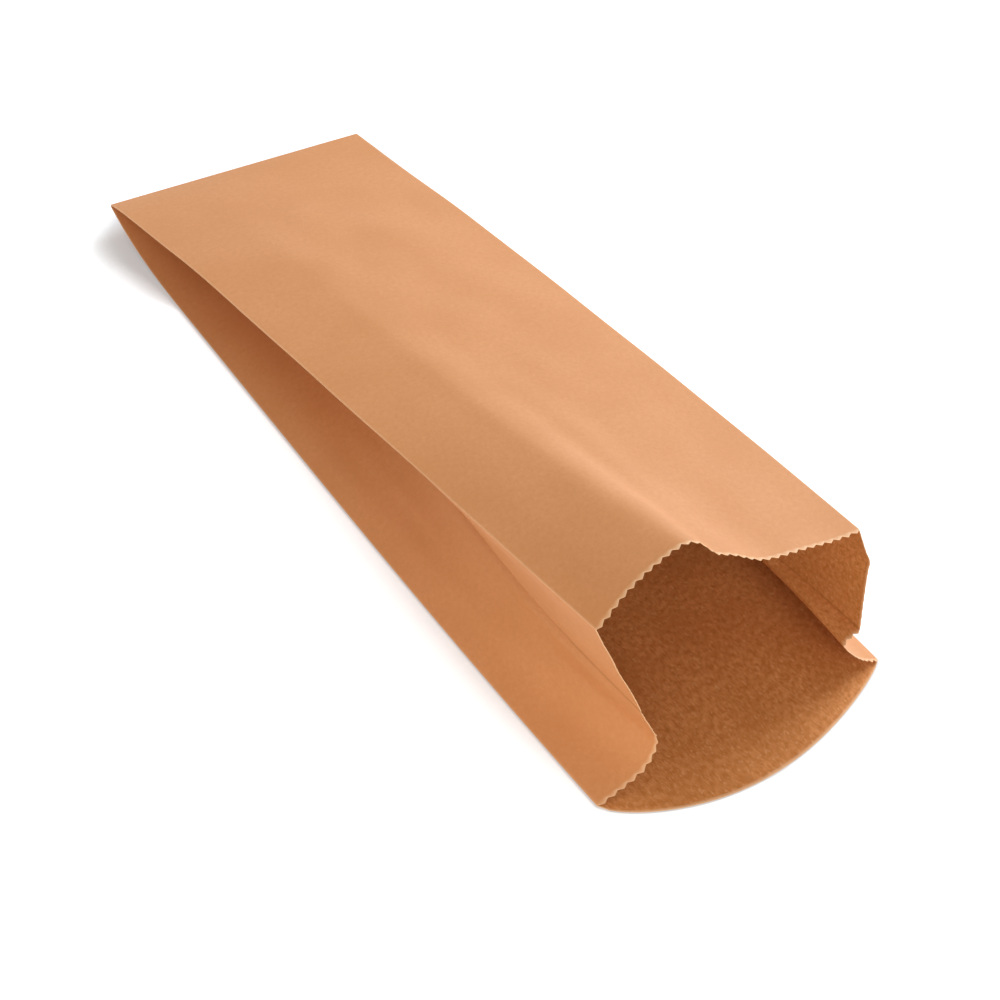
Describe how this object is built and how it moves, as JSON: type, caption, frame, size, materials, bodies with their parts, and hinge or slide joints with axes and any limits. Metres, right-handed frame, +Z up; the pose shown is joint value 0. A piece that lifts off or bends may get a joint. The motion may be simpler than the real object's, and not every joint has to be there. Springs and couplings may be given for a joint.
{
  "type": "grocery bag",
  "caption": "Paper grocery bag with side gussets and a pinched bottom, lying open on its back panel, with a saw-tooth mouth and a rounded lip.",
  "frame": {"origin": "on the ground under the middle of the bag's bounding box", "axes": "+X across the width to the right as seen from the mouth, +Y along the length towards the closed end, so the mouth opens to -Y, +Z up from the back panel to the front panel"},
  "size_m": [0.1526, 0.472, 0.1188],
  "materials": {
    "kraft_paper": "brown kraft paper, smooth and slightly glossy outside, matte and darker inside"
  },
  "bodies": {
    "root": {"paper_bag": "kraft_paper"}
  },
  "joints": []
}
